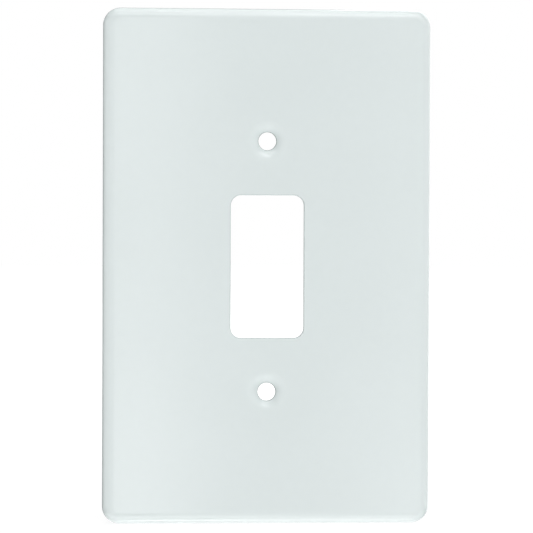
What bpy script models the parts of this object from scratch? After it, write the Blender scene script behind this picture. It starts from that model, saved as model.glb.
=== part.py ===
"""A pressed-steel wall plate cover for one switch.

It is one sheet of steel. Its flat face is rolled back all round into a shallow skirt, an
upright window lets the switch's lever through, and a countersunk dimple above and below
the window seats each screw that holds the cover to the switch's strap.

Metres. +Z runs up the plate, +X to the right of someone who faces it, and the face looks
along -Y. The skirt's rear edge, which meets the wall, lies in the plane y = 0, and the
origin is the centre of that edge.
"""

import math

import bmesh
import bpy
from mathutils import Matrix, Vector

# Driving dimensions
PLATE_WIDTH = 0.0790
PLATE_HEIGHT = 0.1240
PLATE_DEPTH = 0.0056
SHEET_THICKNESS = 0.0009
CORNER_RADIUS = 0.0042
ROLL_RADIUS = 0.0024
WINDOW_WIDTH = 0.0176
WINDOW_HEIGHT = 0.0343
WINDOW_CORNER_RADIUS = 0.0025
SCREW_SPACING = 0.060325
HOLE_RADIUS = 0.00215
SEAT_RADIUS = 0.0034
SEAT_ANGLE = math.radians(82)
SEAT_SHOULDER_RADIUS = 0.0025

# How finely the round stretches are divided
CORNER_STEPS = 8
ROLL_STEPS = 8
WINDOW_CORNER_STEPS = 6
SHOULDER_STEPS = 6
DIMPLE_SIDES = 40

ENAMEL_COLOUR = (0.80, 0.85, 0.84, 1.0)
ENAMEL_ROUGHNESS = 0.22
SHARP_ANGLE = math.radians(30)

FRONT = Vector((0, -1, 0))
BACK = Vector((0, 1, 0))
SAME_DIRECTION = 0.999
SAME_PLANE = 0.00001


def clear_scene():
    for thing in list(bpy.data.objects):
        bpy.data.objects.remove(thing, do_unlink=True)


def enamel():
    """White enamel over the steel. The enamel is what shows, so it isn't metallic."""
    material = bpy.data.materials.new("white_enamel")
    material.use_nodes = True
    shader = material.node_tree.nodes["Principled BSDF"]
    shader.inputs["Base Color"].default_value = ENAMEL_COLOUR
    shader.inputs["Roughness"].default_value = ENAMEL_ROUGHNESS
    shader.inputs["Metallic"].default_value = 0.0
    return material


def round_off(mesh, geometry, affect, radius, steps):
    """Rounds edges, or a flat face's corners, with an arc of this radius."""
    bmesh.ops.bevel(
        mesh,
        geom=geometry,
        offset=radius,
        offset_type="OFFSET",
        affect=affect,
        segments=steps,
        profile=0.5,
        material=-1,
        clamp_overlap=False,
    )


def faces_towards(mesh, direction):
    return [face for face in mesh.faces if face.normal.dot(direction) > SAME_DIRECTION]


def press_tray(mesh):
    """The outer skin of the roll and the skirt, open in front and behind."""
    middle = Vector((0, -PLATE_DEPTH / 2, 0))
    size = Vector((PLATE_WIDTH, PLATE_DEPTH, PLATE_HEIGHT))
    bmesh.ops.create_cube(mesh, size=1, matrix=Matrix.LocRotScale(middle, None, size))
    depth_edges = [edge for edge in mesh.edges if abs(edge.verts[0].co.y - edge.verts[1].co.y) > SAME_PLANE]
    round_off(mesh, depth_edges, "EDGES", CORNER_RADIUS, CORNER_STEPS)
    front_edges = [edge for face in faces_towards(mesh, FRONT) for edge in face.edges]
    round_off(mesh, front_edges, "EDGES", ROLL_RADIUS, ROLL_STEPS)
    ends = faces_towards(mesh, FRONT) + faces_towards(mesh, BACK)
    bmesh.ops.delete(mesh, geom=ends, context="FACES_ONLY")


def outline_window(mesh):
    """The window's outline in the plane of the face, with rounded corners."""
    across = WINDOW_WIDTH / 2
    up = WINDOW_HEIGHT / 2
    tray = set(mesh.faces)
    corners = ((-across, -up), (across, -up), (across, up), (-across, up))
    pane = mesh.faces.new([mesh.verts.new((x, -PLATE_DEPTH, z)) for x, z in corners])
    round_off(mesh, list(pane.verts), "VERTICES", WINDOW_CORNER_RADIUS, WINDOW_CORNER_STEPS)
    rounded = [face for face in mesh.faces if face not in tray]
    bmesh.ops.delete(mesh, geom=rounded, context="FACES_ONLY")


def dimple_profile():
    """(radius, depth behind the face), over the shoulder and down the cone to the hole."""
    slope = math.pi / 2 - SEAT_ANGLE / 2
    shoulder_start = SEAT_RADIUS + SEAT_SHOULDER_RADIUS * math.tan(slope / 2)
    points = []
    for step in range(SHOULDER_STEPS + 1):
        turn = slope * step / SHOULDER_STEPS
        radius = shoulder_start - SEAT_SHOULDER_RADIUS * math.sin(turn)
        depth = SEAT_SHOULDER_RADIUS * (1 - math.cos(turn))
        points.append((radius, depth))
    hole_depth = depth + (radius - HOLE_RADIUS) * math.tan(slope)
    return points + [(HOLE_RADIUS, hole_depth)]


def spin_dimple(mesh, height):
    """The outer skin of one dimple, turned about its screw's axis."""
    profile = [mesh.verts.new((radius, depth - PLATE_DEPTH, height)) for radius, depth in dimple_profile()]
    lines = [mesh.edges.new(ends) for ends in zip(profile, profile[1:])]
    bmesh.ops.spin(
        mesh,
        geom=profile + lines,
        cent=(0, 0, height),
        axis=BACK,
        angle=math.tau,
        steps=DIMPLE_SIDES,
        use_merge=True,
    )


def fill_face(mesh):
    """The flat face, between the roll, the window and the dimples."""
    rims = []
    for edge in mesh.edges:
        off_plane = max(abs(vert.co.y + PLATE_DEPTH) for vert in edge.verts)
        if len(edge.link_faces) < 2 and off_plane < SAME_PLANE:
            rims.append(edge)
    bmesh.ops.triangle_fill(mesh, edges=rims, use_beauty=True, normal=FRONT)


def turn_faces_outwards(mesh):
    bmesh.ops.recalc_face_normals(mesh, faces=mesh.faces)
    largest = max(mesh.faces, key=lambda face: face.calc_area())
    if largest.normal.dot(FRONT) < 0:
        bmesh.ops.reverse_faces(mesh, faces=mesh.faces)


def outer_skin():
    mesh = bmesh.new()
    press_tray(mesh)
    outline_window(mesh)
    for side in (1, -1):
        spin_dimple(mesh, side * SCREW_SPACING / 2)
    fill_face(mesh)
    turn_faces_outwards(mesh)
    skin = bpy.data.meshes.new("cover_plate")
    mesh.to_mesh(skin)
    mesh.free()
    skin.shade_smooth()
    skin.set_sharp_from_angle(angle=SHARP_ANGLE)
    return skin


def cover_plate():
    """The whole cover: its outer skin, with the sheet's thickness added on the inside."""
    plate = bpy.data.objects.new("cover_plate", outer_skin())
    bpy.context.scene.collection.objects.link(plate)
    plate.data.materials.append(enamel())
    sheet = plate.modifiers.new("sheet", "SOLIDIFY")
    sheet.thickness = SHEET_THICKNESS
    sheet.offset = -1
    sheet.use_even_offset = True
    sheet.use_quality_normals = True
    return plate


clear_scene()
cover_plate()
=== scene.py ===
"""The finished look of a wall plate cover: one pressed sheet of steel in gloss white enamel.

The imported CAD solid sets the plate's box. The piece made here follows the same sizes with
finer rounds: the roll eases into the flat face, the dimples blend out of it, and every
sheared edge is softened by the enamel that covers it. Lengths are in metres through MM.
"""

import math

import bmesh
import bpy
from mathutils import Matrix, Quaternion, Vector


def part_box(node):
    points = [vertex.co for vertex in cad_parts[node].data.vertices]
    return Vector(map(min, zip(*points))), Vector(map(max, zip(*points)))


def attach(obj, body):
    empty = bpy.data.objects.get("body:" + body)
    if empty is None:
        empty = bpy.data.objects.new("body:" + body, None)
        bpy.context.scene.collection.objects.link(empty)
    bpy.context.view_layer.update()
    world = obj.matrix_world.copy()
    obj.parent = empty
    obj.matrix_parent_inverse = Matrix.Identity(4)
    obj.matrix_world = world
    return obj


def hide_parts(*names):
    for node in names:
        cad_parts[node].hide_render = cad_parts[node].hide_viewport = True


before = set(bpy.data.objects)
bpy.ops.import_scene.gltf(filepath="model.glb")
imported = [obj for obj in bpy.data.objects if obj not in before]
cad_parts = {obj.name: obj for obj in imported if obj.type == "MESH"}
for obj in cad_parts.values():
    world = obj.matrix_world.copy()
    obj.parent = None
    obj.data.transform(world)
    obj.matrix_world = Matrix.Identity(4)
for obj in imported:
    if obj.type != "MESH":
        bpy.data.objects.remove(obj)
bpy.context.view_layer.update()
LOW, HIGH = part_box("cover_plate")

MM = 0.001

# The pressing
PLATE_WIDTH = HIGH.x - LOW.x
PLATE_HEIGHT = HIGH.z - LOW.z
FACE_Y = LOW.y
RIM_Y = HIGH.y
SHEET = 0.9 * MM
CORNER_RADIUS = 4.2 * MM
ROLL_RISE = 2.4 * MM
ROLL_EASE = 1.3
WINDOW_WIDTH = 17.6 * MM
WINDOW_HEIGHT = 34.3 * MM
WINDOW_CORNER = 2.5 * MM
SCREW_SPACING = 60.325 * MM
HOLE_RADIUS = 2.15 * MM
SEAT_RADIUS = 3.4 * MM
SEAT_SLOPE = math.radians(49)
SEAT_SHOULDER = 3.5 * MM

# Soft edges under the enamel
FLAT_MARGIN = 0.5 * MM
WINDOW_FRONT_ROUND = 0.18 * MM
WINDOW_BACK_ROUND = 0.08 * MM
HOLE_FRONT_ROUND = 0.45 * MM
HOLE_BACK_ROUND = 0.12 * MM
RIM_ROUND = 0.22 * MM
ROUND_STEPS = 5

# How finely the round stretches are divided
CORNER_STEPS = 28
ROLL_STEPS = 30
WINDOW_CORNER_STEPS = 20
SHOULDER_STEPS = 16
DIMPLE_SIDES = 128

# Enamel on the front. Gloss values are roughnesses: the lower, the glossier
FRONT_COLOUR = (0.79, 0.857, 0.854, 1)
FRONT_THIN_COLOUR = (0.775, 0.842, 0.838, 1)
FRONT_GLOSS = 0.12
FRONT_SMEARED = 0.15
FRONT_MOTTLE_SIZE = 2.0 * MM
FRONT_PEEL_SIZE = 1.2 * MM
FRONT_PEEL_HEIGHT = 0.001 * MM

# Painted shade of the rounded hole lips and, fainter, the other sheared edges, in dark teal; the
# white also draws thinnest there
THIN_COAT_PAINTED_SHADE_COLOUR = (0.26, 0.32, 0.32, 1)
PAINTED_SHADE_FROM = 0.4
PAINTED_SHADE_SHOWN = 0.75

# Enamel behind
BACK_COLOUR = (0.70, 0.74, 0.74, 1)
BACK_THIN_COLOUR = (0.55, 0.585, 0.585, 1)
BACK_GLOSS = 0.36
BACK_SMEARED = 0.48
BACK_MOTTLE_SIZE = 1.0 * MM
BACK_PEEL_SIZE = 0.8 * MM
BACK_PEEL_HEIGHT = 0.003 * MM

# What the two coats share. A mask fades in between its FROM and TO values of the noise
EDGE_LOSS = 0.5
CLOUD_SIZE = 30 * MM
CLOUD_SHARE = 0.6
COVER_FROM = 0.3
COVER_TO = 0.7
WAVE_SIZE = 22 * MM
WAVE_HEIGHT = 0.004 * MM
SMEAR_SIZE = 14 * MM
SMEAR_FROM = 0.48
SMEAR_TO = 0.68

# Marks of the hooks that the plate hung from while it was sprayed. A mark is solid, and then
# gone, at these shares of its size
HOOK_MARK_COLOUR = (0.30, 0.315, 0.32, 1)
HOOK_MARK_SIZE = 1.1 * MM
HOOK_MARK_RAGGED = 0.5 * MM
HOOK_MARK_RISE = 2.9 * MM
HOOK_MARK_DEPTH = 2.1 * MM
HOOK_MARK_SOLID = 0.8
HOOK_MARK_GONE = 1.1

# Camera. Sensor and lens are in millimetres, as cameras state them
CAMERA_SENSOR = 36
CAMERA_LENS = 167.06
CAMERA_DISTANCE = 600 * MM
CAMERA_AZIMUTH = math.radians(-3.77)
CAMERA_ELEVATION = math.radians(1.17)
CAMERA_TURN = math.radians(0.22)
CAMERA_SHIFT_X = 0.0014
CAMERA_SHIFT_Y = -0.0005
CAMERA_CLIP_NEAR = 30 * MM
CAMERA_CLIP_FAR = 30000 * MM

# Studio. The floor's glow rises from near to far over these distances from the plate's middle
WHITE = (1, 1, 1, 1)
FLOOR_SIZE = 6000 * MM
FLOOR_GAP = 0.1 * MM
FLOOR_COLOUR = (0.25, 0.25, 0.25, 1)
FLOOR_GLOW_NEAR = 0.8
FLOOR_GLOW_FAR = 1.0
FLOOR_NEAR = 100 * MM
FLOOR_FAR = 600 * MM
SOFTBOX_DISTANCE = 1600 * MM

# Each softbox's azimuth, elevation, width and height in degrees from the plate, then brightness
SOFTBOXES = (
    ("overhead_far_left", -65, 74, 14, 28, 3.0),
    ("overhead_left", -20, 74, 11, 28, 1.5),
    ("overhead_right", 20, 74, 11, 28, 2.6),
    ("overhead_far_right", 65, 74, 14, 28, 1.4),
    ("high_left", -35, 51, 32, 18, 0.9),
    ("high_middle", 0, 51, 13, 18, 3.4),
    ("high_right", 22, 51, 16, 18, 4.2),
    ("high_far_right", 47, 51, 16, 18, 2.8),
    ("raised_right", 30, 32, 51, 20, 0.95),
    ("side_left", -85, 8, 50, 44, 1.2),
    ("side_right", 85, 4, 50, 36, 1.2),
    ("front_left", -34, 4, 52, 36, 0.75),
    ("front_strip", -0.5, 4, 3, 36, 2.1),
    ("front_strip_foot", -3.5, -9.5, 9, 9, 0.9),
    ("front_right_strip", 9, 4, 2, 36, 1.2),
    ("front_right", 37, 4, 46, 36, 0.5),
    ("front_right_foot", 18, -9.5, 24, 9, 0.9),
    ("low_left", -30, -27, 53, 26, 0.85),
    ("low_right", 30, -27, 53, 26, 0.85),
    ("lower_left", -60, -49, 39, 22, 1.2),
    ("lower_middle", 0, -49, 26, 22, 2.4),
    ("lower_right", 55, -49, 46, 22, 1.3),
    ("below_far_left", -65, -74, 14, 28, 1.5),
    ("below_left", -20, -74, 11, 28, 2.2),
    ("below_right", 20, -74, 11, 28, 2.2),
    ("below_far_right", 65, -74, 14, 28, 1.5),
    ("underneath", 0, -89, 24, 12, 2.5),
    ("rear_right", 140, 15, 58, 70, 1.45),
    ("rear_top", 180, 67, 38, 35, 1.6),
    ("rear_below", 180, -52, 61, 65, 1.2),
    ("rear_key", 165, 35, 12, 12, 8.0),
)

FRONT = Vector((0, -1, 0))
BACK = Vector((0, 1, 0))
UPRIGHT = Matrix.Rotation(math.radians(90), 3, "X")
SAME_PLANE = 0.01 * MM
SAME_POINT = 0.001 * MM

# The cone runs a little past the hole's radius, so that the rounded lip ends on that radius
CONE_END = HOLE_RADIUS - HOLE_FRONT_ROUND * (math.sin(SEAT_SLOPE) + math.cos(SEAT_SLOPE) - 1)

# An edge that turns more than this was sheared, not bent. Each kind is rounded by its own size
SHEARED = math.radians(60)
EDGE_ROUNDS = (RIM_ROUND, WINDOW_FRONT_ROUND, WINDOW_BACK_ROUND, HOLE_FRONT_ROUND, HOLE_BACK_ROUND)

# The plate's second material slot, and its attribute for how far the coat has drawn out, which
# also sets how much painted shade each sheared edge gets
BACK_COAT = 1
THIN_COAT_AND_SHADE = "thin_coat_and_shade"
# How thin the coat is, and how much painted shade there is, on the sheared edges and on the hole
# lips
EDGES_THIN_AND_SHADED = 0.65
LIP_THIN_AND_SHADED = 1.0

# The Mix node has sockets for every type of value. These are the ones for colours
MIX_FIRST = 6
MIX_SECOND = 7
MIX_RESULT = 2

# Noise runs from 0 to 1 about this value
NOISE_MIDDLE = 0.5


# ---- The pressed sheet ----


def round_off(mesh, geometry, affect, radius, steps):
    """Rounds edges, or a flat face's corners, with an arc of this radius."""
    return bmesh.ops.bevel(
        mesh,
        geom=geometry,
        offset=radius,
        offset_type="OFFSET",
        affect=affect,
        segments=steps,
        profile=0.5,
        material=-1,
        clamp_overlap=False,
    )


def rounded_pane(mesh, width, height, radius, steps, depth):
    """One flat upright face with round corners, at that depth."""
    before = set(mesh.faces)
    verts = bmesh.ops.create_grid(mesh, x_segments=1, y_segments=1, size=0.5)["verts"]
    bmesh.ops.scale(mesh, vec=(width, height, 1), verts=verts)
    bmesh.ops.rotate(mesh, cent=(0, 0, 0), matrix=UPRIGHT, verts=verts)
    bmesh.ops.translate(mesh, vec=(0, depth, 0), verts=verts)
    round_off(mesh, verts, "VERTICES", radius, steps)
    pane = [face for face in mesh.faces if face not in before][0]
    if pane.normal.dot(FRONT) < 0:
        pane.normal_flip()
    return pane


def set_in(mesh, face, inwards, forwards):
    """Draws the face's outline inwards and lifts it, leaving a strip of sheet behind."""
    bmesh.ops.inset_region(
        mesh,
        faces=[face],
        thickness=inwards,
        depth=forwards,
        use_boundary=True,
        use_even_offset=True,
    )


def roll_stretches():
    """(inwards, forwards) for each short stretch, from the skirt over to the flat face.

    The bend is tightest at the skirt and eases out towards the face, as pressed sheet does.
    """
    turns = []
    for step in range(ROLL_STEPS):
        along = (step + 0.5) / ROLL_STEPS
        turns.append(math.pi / 2 * (1 - (1 - along) ** ROLL_EASE))
    stretch = ROLL_RISE / sum(math.cos(turn) for turn in turns)
    return [(stretch * math.sin(turn), stretch * math.cos(turn)) for turn in turns]


def press_tray(mesh):
    """Skirt, roll and the outermost strip of the flat face, open in front and behind."""
    face = rounded_pane(mesh, PLATE_WIDTH, PLATE_HEIGHT, CORNER_RADIUS, CORNER_STEPS, RIM_Y)
    skirt_top = FACE_Y + ROLL_RISE
    raised = bmesh.ops.extrude_face_region(mesh, geom=[face])["geom"]
    verts = [item for item in raised if isinstance(item, bmesh.types.BMVert)]
    bmesh.ops.translate(mesh, vec=(0, skirt_top - RIM_Y, 0), verts=verts)
    face = [item for item in raised if isinstance(item, bmesh.types.BMFace)][0]
    for inwards, forwards in roll_stretches():
        set_in(mesh, face, inwards, forwards)
    set_in(mesh, face, FLAT_MARGIN, 0)
    ends = [end for end in mesh.faces if len(end.verts) > 4]
    bmesh.ops.delete(mesh, geom=ends, context="FACES_ONLY")


def outline_window(mesh):
    """The window's outline, with a strip of flat face round it. Returns the pane to knock out."""
    width = WINDOW_WIDTH + 2 * FLAT_MARGIN
    height = WINDOW_HEIGHT + 2 * FLAT_MARGIN
    corner = WINDOW_CORNER + FLAT_MARGIN
    pane = rounded_pane(mesh, width, height, corner, WINDOW_CORNER_STEPS, FACE_Y)
    set_in(mesh, pane, FLAT_MARGIN, 0)
    return pane


def dimple_profile():
    """(radius, depth behind the face) from the flat, over the shoulder, down to the hole."""
    shoulder_start = SEAT_RADIUS + SEAT_SHOULDER * math.tan(SEAT_SLOPE / 2)
    points = [(shoulder_start + FLAT_MARGIN, 0)]
    for step in range(SHOULDER_STEPS + 1):
        turn = SEAT_SLOPE * step / SHOULDER_STEPS
        radius = shoulder_start - SEAT_SHOULDER * math.sin(turn)
        points.append((radius, SEAT_SHOULDER * (1 - math.cos(turn))))
    cone_top, cone_depth = points[-1]
    points.append((CONE_END, cone_depth + (cone_top - CONE_END) * math.tan(SEAT_SLOPE)))
    return points


def spin_dimple(mesh, height):
    """A dimple, turned about its screw's axis."""
    profile = []
    for radius, depth in dimple_profile():
        profile.append(mesh.verts.new((radius, FACE_Y + depth, height)))
    lines = [mesh.edges.new(ends) for ends in zip(profile, profile[1:])]
    bmesh.ops.spin(
        mesh,
        geom=profile + lines,
        cent=(0, 0, height),
        axis=BACK,
        angle=math.tau,
        steps=DIMPLE_SIDES,
        use_merge=True,
    )


def fill_face(mesh):
    """The flat face between the roll, the window and the dimples."""
    rims = []
    for edge in mesh.edges:
        off_plane = max(abs(vert.co.y - FACE_Y) for vert in edge.verts)
        if len(edge.link_faces) == 1 and off_plane < SAME_PLANE:
            rims.append(edge)
    bmesh.ops.triangle_fill(mesh, edges=rims, use_beauty=True, normal=FRONT)


def front_skin():
    """The sheet's front surface, with every face looking outwards."""
    mesh = bmesh.new()
    press_tray(mesh)
    pane = outline_window(mesh)
    for side in (1, -1):
        spin_dimple(mesh, side * SCREW_SPACING / 2)
    fill_face(mesh)
    bmesh.ops.delete(mesh, geom=[pane], context="FACES_ONLY")
    bmesh.ops.remove_doubles(mesh, verts=mesh.verts, dist=SAME_POINT)
    bmesh.ops.recalc_face_normals(mesh, faces=mesh.faces)
    largest = max(mesh.faces, key=lambda face: face.calc_area())
    if largest.normal.dot(FRONT) < 0:
        bmesh.ops.reverse_faces(mesh, faces=mesh.faces)
    return mesh


def from_screw_axis(vert):
    """How far a point is from the nearer screw's axis, across the plate."""
    return math.hypot(vert.co.x, abs(vert.co.z) - SCREW_SPACING / 2)


def sheared_edges(mesh):
    """The sheet's sharp edges, sorted by the round that the enamel gives each."""
    inner_y = FACE_Y + SHEET
    sorted_edges = {round_size: [] for round_size in EDGE_ROUNDS}
    for edge in mesh.edges:
        if edge.calc_face_angle(0) < SHEARED:
            continue
        vert = edge.verts[0]
        if abs(vert.co.y - RIM_Y) < SAME_PLANE:
            sorted_edges[RIM_ROUND].append(edge)
        elif abs(vert.co.y - FACE_Y) < SAME_PLANE:
            sorted_edges[WINDOW_FRONT_ROUND].append(edge)
        elif abs(vert.co.y - inner_y) < SAME_PLANE:
            sorted_edges[WINDOW_BACK_ROUND].append(edge)
        elif from_screw_axis(vert) < CONE_END + SAME_PLANE:
            sorted_edges[HOLE_FRONT_ROUND].append(edge)
        else:
            sorted_edges[HOLE_BACK_ROUND].append(edge)
    return sorted_edges


def soften_edges(mesh):
    """Rounds every sheared edge and marks how thin the coat has drawn out over it, and how much
    painted shade it gets in front.
    """
    thin = mesh.verts.layers.float.new(THIN_COAT_AND_SHADE)
    for radius, edges in sheared_edges(mesh).items():
        rounded = round_off(mesh, edges, "EDGES", radius, ROUND_STEPS)
        for vert in rounded["verts"]:
            vert[thin] = LIP_THIN_AND_SHADED if radius == HOLE_FRONT_ROUND else EDGES_THIN_AND_SHADED


def press_plate():
    """The whole plate: its front skin, the sheet's thickness behind it and its soft edges."""
    mesh = front_skin()
    inner = bmesh.ops.solidify(mesh, geom=mesh.faces[:], thickness=SHEET)["geom"]
    for item in inner:
        if isinstance(item, bmesh.types.BMFace):
            item.material_index = BACK_COAT
    soften_edges(mesh)
    plate = bpy.data.meshes.new("enamelled_plate")
    mesh.to_mesh(plate)
    mesh.free()
    plate.shade_smooth()
    return plate


# ---- Enamel ----


def add_node(tree, kind, inputs=None, **settings):
    """A node with its settings, and values or links for its inputs."""
    node = tree.nodes.new(kind)
    for name, value in settings.items():
        setattr(node, name, value)
    for socket, value in (inputs or {}).items():
        if isinstance(value, bpy.types.NodeSocket):
            tree.links.new(value, node.inputs[socket])
        else:
            node.inputs[socket].default_value = value
    return node


def new_group(name, inputs, outputs):
    """An empty shader group. Inputs are (name, type, default) rows, outputs (name, type)."""
    group = bpy.data.node_groups.new(name, "ShaderNodeTree")
    for label, kind, default in inputs:
        socket = group.interface.new_socket(label, in_out="INPUT", socket_type=kind)
        if default is not None:
            socket.default_value = default
    for label, kind in outputs:
        group.interface.new_socket(label, in_out="OUTPUT", socket_type=kind)
    given = group.nodes.new("NodeGroupInput").outputs
    result = group.nodes.new("NodeGroupOutput").inputs
    return group, given, result


def math_node(tree, operation, first, second, clamp=False):
    """One step of arithmetic on two values or links."""
    node = add_node(tree, "ShaderNodeMath", {0: first, 1: second}, operation=operation)
    node.use_clamp = clamp
    return node.outputs[0]


def noise(tree, place, size, detail, rough=0.5):
    """Soft noise whose lumps are about this many metres across."""
    scale = math_node(tree, "DIVIDE", 1.0, size)
    inputs = {"Vector": place, "Scale": scale, "Detail": detail, "Roughness": rough}
    return add_node(tree, "ShaderNodeTexNoise", inputs).outputs["Fac"]


def ramp(tree, value, low, high, to_low=0.0, to_high=1.0):
    """Runs smoothly from to_low to to_high as the value goes from low to high."""
    inputs = {
        "Value": value,
        "From Min": low,
        "From Max": high,
        "To Min": to_low,
        "To Max": to_high,
    }
    node = add_node(tree, "ShaderNodeMapRange", inputs, interpolation_type="SMOOTHSTEP")
    return node.outputs["Result"]


def make_coat_surface():
    """Orange peel of sprayed enamel and the slow waves of the sheet under it, as a height."""
    inputs = (
        ("Place", "NodeSocketVector", None),
        ("Peel Size", "NodeSocketFloat", FRONT_PEEL_SIZE),
        ("Peel Height", "NodeSocketFloat", FRONT_PEEL_HEIGHT),
        ("Wave Size", "NodeSocketFloat", WAVE_SIZE),
        ("Wave Height", "NodeSocketFloat", WAVE_HEIGHT),
    )
    group, given, result = new_group("coat_surface", inputs, [("Height", "NodeSocketFloat")])
    peel = noise(group, given["Place"], given["Peel Size"], detail=1.0, rough=0.4)
    wave = noise(group, given["Place"], given["Wave Size"], detail=0.0)
    peel_height = math_node(group, "MULTIPLY", peel, given["Peel Height"])
    wave_height = math_node(group, "MULTIPLY", wave, given["Wave Height"])
    height = math_node(group, "ADD", peel_height, wave_height)
    group.links.new(height, result["Height"])
    return group


def make_coat_tone():
    """How thick the coat lies: a slow cloud with a finer mottle, and less on sheared edges."""
    inputs = (
        ("Place", "NodeSocketVector", None),
        ("Thin Edge", "NodeSocketFloat", 0.0),
        ("Cloud Size", "NodeSocketFloat", CLOUD_SIZE),
        ("Mottle Size", "NodeSocketFloat", FRONT_MOTTLE_SIZE),
        ("Edge Loss", "NodeSocketFloat", EDGE_LOSS),
    )
    group, given, result = new_group("coat_tone", inputs, [("Cover", "NodeSocketFloat")])
    cloud = noise(group, given["Place"], given["Cloud Size"], detail=1.0)
    mottle = noise(group, given["Place"], given["Mottle Size"], detail=3.0, rough=0.6)
    clouded = math_node(group, "MULTIPLY", cloud, CLOUD_SHARE)
    mottled = math_node(group, "MULTIPLY", mottle, 1 - CLOUD_SHARE)
    both = math_node(group, "ADD", clouded, mottled)
    cover = ramp(group, both, COVER_FROM, COVER_TO)
    lost = math_node(group, "MULTIPLY", given["Thin Edge"], given["Edge Loss"])
    left = math_node(group, "SUBTRACT", cover, lost, clamp=True)
    group.links.new(left, result["Cover"])
    return group


def make_handling():
    """Faint smears left by handling, which only change the gloss."""
    inputs = (
        ("Place", "NodeSocketVector", None),
        ("Smear Size", "NodeSocketFloat", SMEAR_SIZE),
        ("Clean Gloss", "NodeSocketFloat", FRONT_GLOSS),
        ("Smeared Gloss", "NodeSocketFloat", FRONT_SMEARED),
    )
    group, given, result = new_group("handling", inputs, [("Roughness", "NodeSocketFloat")])
    smear = noise(group, given["Place"], given["Smear Size"], detail=4.0, rough=0.55)
    mask = ramp(group, smear, SMEAR_FROM, SMEAR_TO)
    inputs = {"Factor": mask, "A": given["Clean Gloss"], "B": given["Smeared Gloss"]}
    mixed = add_node(group, "ShaderNodeMix", inputs, data_type="FLOAT")
    group.links.new(mixed.outputs["Result"], result["Roughness"])
    return group


def make_touch_mark():
    """A small ragged spot where a hook kept the spray off, as a mask round one point."""
    inputs = (
        ("Place", "NodeSocketVector", None),
        ("Middle", "NodeSocketVector", None),
        ("Size", "NodeSocketFloat", HOOK_MARK_SIZE),
        ("Ragged Size", "NodeSocketFloat", HOOK_MARK_RAGGED),
    )
    group, given, result = new_group("touch_mark", inputs, [("Mask", "NodeSocketFloat")])
    ends = {0: given["Place"], 1: given["Middle"]}
    away = add_node(group, "ShaderNodeVectorMath", ends, operation="DISTANCE").outputs["Value"]
    ragged = noise(group, given["Place"], given["Ragged Size"], detail=3.0, rough=0.6)
    stretch = math_node(group, "ADD", ragged, 1 - NOISE_MIDDLE)
    stretched = math_node(group, "MULTIPLY", away, stretch)
    reach = math_node(group, "DIVIDE", stretched, given["Size"])
    mask = ramp(group, reach, HOOK_MARK_SOLID, HOOK_MARK_GONE, 1.0, 0.0)
    group.links.new(mask, result["Mask"])
    return group


def place_group(tree, group, **inputs):
    """A group placed in a material, its inputs named with _ for a space."""
    named = {name.replace("_", " "): value for name, value in inputs.items()}
    return add_node(tree, "ShaderNodeGroup", named, node_tree=group).outputs


def new_coat(name):
    """A material, with its shader and the nodes that give the place and the thin edges."""
    material = bpy.data.materials.new(name)
    material.use_nodes = True
    tree = material.node_tree
    shader = tree.nodes["Principled BSDF"]
    place = tree.nodes.new("ShaderNodeTexCoord").outputs["Object"]
    thin = add_node(tree, "ShaderNodeAttribute", attribute_name=THIN_COAT_AND_SHADE).outputs["Fac"]
    return material, tree, shader, place, thin


def mix_colours(tree, factor, first, second):
    """The first colour, turning into the second as the factor goes from 0 to 1."""
    inputs = {"Factor": factor, MIX_FIRST: first, MIX_SECOND: second}
    node = add_node(tree, "ShaderNodeMix", inputs, data_type="RGBA")
    return node.outputs[MIX_RESULT]


def finish_coat(tree, shader, colour, roughness, height):
    """Feeds the shader. The height is in metres, so the bump's distance is one metre."""
    tree.links.new(colour, shader.inputs["Base Color"])
    tree.links.new(roughness, shader.inputs["Roughness"])
    bump = add_node(tree, "ShaderNodeBump", {"Height": height, "Distance": 1.0, "Strength": 1.0})
    tree.links.new(bump.outputs["Normal"], shader.inputs["Normal"])


def front_enamel(groups):
    """The full gloss coat on the face, the roll and the skirt, drawn thin at the lips, with
    painted shade darkening the hole lips most and the other sheared edges less.
    """
    material, tree, shader, place, thin = new_coat("front_enamel")
    tone = place_group(
        tree,
        groups["tone"],
        Place=place,
        Thin_Edge=thin,
        Mottle_Size=FRONT_MOTTLE_SIZE,
    )
    gloss = place_group(
        tree,
        groups["handling"],
        Place=place,
        Clean_Gloss=FRONT_GLOSS,
        Smeared_Gloss=FRONT_SMEARED,
    )
    surface = place_group(
        tree,
        groups["surface"],
        Place=place,
        Peel_Size=FRONT_PEEL_SIZE,
        Peel_Height=FRONT_PEEL_HEIGHT,
    )
    colour = mix_colours(tree, tone["Cover"], FRONT_THIN_COLOUR, FRONT_COLOUR)
    # Painted shade: the hole lips, and fainter the other sheared edges, turn dark teal, partly for
    # the thinner coat there
    thin_and_shaded = ramp(tree, thin, PAINTED_SHADE_FROM, LIP_THIN_AND_SHADED, 0.0, PAINTED_SHADE_SHOWN)
    colour = mix_colours(tree, thin_and_shaded, colour, THIN_COAT_PAINTED_SHADE_COLOUR)
    finish_coat(tree, shader, colour, gloss["Roughness"], surface["Height"])
    return material


def add_hook_marks(tree, group, place, colour):
    """The marks behind, one above each hole, laid over a colour."""
    for side in (1, -1):
        hook = (0, FACE_Y + HOOK_MARK_DEPTH, side * SCREW_SPACING / 2 + HOOK_MARK_RISE)
        mark = place_group(
            tree,
            group,
            Place=place,
            Middle=hook,
            Size=HOOK_MARK_SIZE,
            Ragged_Size=HOOK_MARK_RAGGED,
        )
        colour = mix_colours(tree, mark["Mask"], colour, HOOK_MARK_COLOUR)
    return colour


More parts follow.
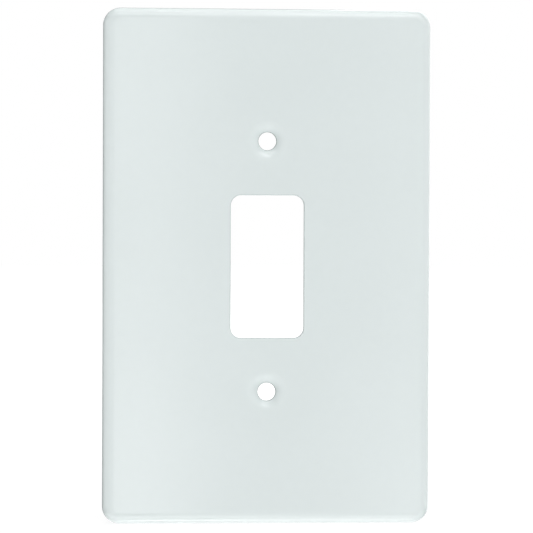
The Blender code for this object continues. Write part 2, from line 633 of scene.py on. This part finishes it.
def back_enamel(groups):
    """The thin coat behind, which steel shows through."""
    material, tree, shader, place, thin = new_coat("back_enamel")
    tone = place_group(
        tree,
        groups["tone"],
        Place=place,
        Thin_Edge=thin,
        Mottle_Size=BACK_MOTTLE_SIZE,
    )
    gloss = place_group(
        tree,
        groups["handling"],
        Place=place,
        Clean_Gloss=BACK_GLOSS,
        Smeared_Gloss=BACK_SMEARED,
    )
    surface = place_group(
        tree,
        groups["surface"],
        Place=place,
        Peel_Size=BACK_PEEL_SIZE,
        Peel_Height=BACK_PEEL_HEIGHT,
    )
    colour = mix_colours(tree, tone["Cover"], BACK_THIN_COLOUR, BACK_COLOUR)
    colour = add_hook_marks(tree, groups["mark"], place, colour)
    finish_coat(tree, shader, colour, gloss["Roughness"], surface["Height"])
    return material


# ---- The plate in its place ----


def make_plate():
    """The finished plate, standing for the CAD one."""
    plate = bpy.data.objects.new("enamelled_plate", press_plate())
    bpy.context.scene.collection.objects.link(plate)
    groups = {
        "surface": make_coat_surface(),
        "tone": make_coat_tone(),
        "handling": make_handling(),
        "mark": make_touch_mark(),
    }
    plate.data.materials.append(front_enamel(groups))
    plate.data.materials.append(back_enamel(groups))
    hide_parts("cover_plate")
    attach(plate, "root")


# ---- Studio ----


def direction(azimuth, elevation):
    """Unit vector from the plate: azimuth 0 is straight out of the face, positive to the right."""
    return Vector(
        (
            math.sin(azimuth) * math.cos(elevation),
            -math.cos(azimuth) * math.cos(elevation),
            math.sin(elevation),
        )
    )


def aim(thing, turn=0.0):
    """Points a camera or light at the origin, then turns it about its own line of sight."""
    track = (-thing.location).to_track_quat("-Z", "Y")
    thing.rotation_mode = "QUATERNION"
    thing.rotation_quaternion = track @ Quaternion((0, 0, 1), turn)


def make_camera():
    """The camera, aimed at the plate's middle and turned a little about its line of sight."""
    data = bpy.data.cameras.new("camera")
    data.sensor_width = CAMERA_SENSOR
    data.lens = CAMERA_LENS
    data.shift_x = CAMERA_SHIFT_X
    data.shift_y = CAMERA_SHIFT_Y
    data.clip_start = CAMERA_CLIP_NEAR
    data.clip_end = CAMERA_CLIP_FAR
    camera = bpy.data.objects.new("camera", data)
    bpy.context.scene.collection.objects.link(camera)
    camera.location = direction(CAMERA_AZIMUTH, CAMERA_ELEVATION) * CAMERA_DISTANCE
    aim(camera, CAMERA_TURN)
    bpy.context.scene.camera = camera


def softbox(name, azimuth, elevation, width, height, brightness):
    """A soft panel that faces the plate and fills these angles, seen from it.

    Angles are in degrees, and brightness is the panel's radiance.
    """
    data = bpy.data.lights.new(name, "AREA")
    data.shape = "RECTANGLE"
    data.size = 2 * SOFTBOX_DISTANCE * math.tan(math.radians(width) / 2)
    data.size_y = 2 * SOFTBOX_DISTANCE * math.tan(math.radians(height) / 2)
    data.energy = brightness * math.pi * data.size * data.size_y
    box = bpy.data.objects.new(name, data)
    bpy.context.scene.collection.objects.link(box)
    box.location = direction(math.radians(azimuth), math.radians(elevation)) * SOFTBOX_DISTANCE
    aim(box)
    box.visible_camera = False


def make_backdrop():
    """White all round, but only for the camera: the softboxes alone light the plate."""
    world = bpy.data.worlds.new("studio")
    bpy.context.scene.world = world
    world.use_nodes = True
    tree = world.node_tree
    tree.nodes.clear()
    seen = tree.nodes.new("ShaderNodeLightPath").outputs["Is Camera Ray"]
    backdrop = add_node(tree, "ShaderNodeBackground", {"Color": WHITE, "Strength": seen})
    output = tree.nodes.new("ShaderNodeOutputWorld")
    tree.links.new(backdrop.outputs[0], output.inputs["Surface"])


def floor_material():
    """Matt paper with a glow of its own, which rises with distance until the floor is white."""
    material = bpy.data.materials.new("floor")
    material.use_nodes = True
    tree = material.node_tree
    tree.nodes.clear()
    paper = add_node(tree, "ShaderNodeBsdfDiffuse", {"Color": FLOOR_COLOUR})
    place = tree.nodes.new("ShaderNodeTexCoord").outputs["Object"]
    away = add_node(tree, "ShaderNodeVectorMath", {0: place}, operation="LENGTH").outputs["Value"]
    glow = ramp(tree, away, FLOOR_NEAR, FLOOR_FAR, FLOOR_GLOW_NEAR, FLOOR_GLOW_FAR)
    glowing = add_node(tree, "ShaderNodeEmission", {"Strength": glow})
    both = add_node(tree, "ShaderNodeAddShader", {0: paper.outputs[0], 1: glowing.outputs[0]})
    output = tree.nodes.new("ShaderNodeOutputMaterial")
    tree.links.new(both.outputs[0], output.inputs["Surface"])
    return material


def make_floor():
    """A floor just under the plate. It catches shadow but neither lights nor shades the plate."""
    mesh = bmesh.new()
    bmesh.ops.create_grid(mesh, x_segments=1, y_segments=1, size=FLOOR_SIZE / 2)
    bmesh.ops.translate(mesh, vec=(0, 0, LOW.z - FLOOR_GAP), verts=mesh.verts)
    sheet = bpy.data.meshes.new("floor")
    mesh.to_mesh(sheet)
    mesh.free()
    floor = bpy.data.objects.new("floor", sheet)
    bpy.context.scene.collection.objects.link(floor)
    floor.data.materials.append(floor_material())
    floor.visible_diffuse = False
    floor.visible_glossy = False
    floor.visible_shadow = False


def make_studio():
    """Backdrop, floor and lights, shown without any toning of the colours."""
    make_backdrop()
    make_floor()
    for box in SOFTBOXES:
        softbox(*box)
    bpy.context.scene.view_settings.view_transform = "Standard"


make_plate()
make_studio()
make_camera()
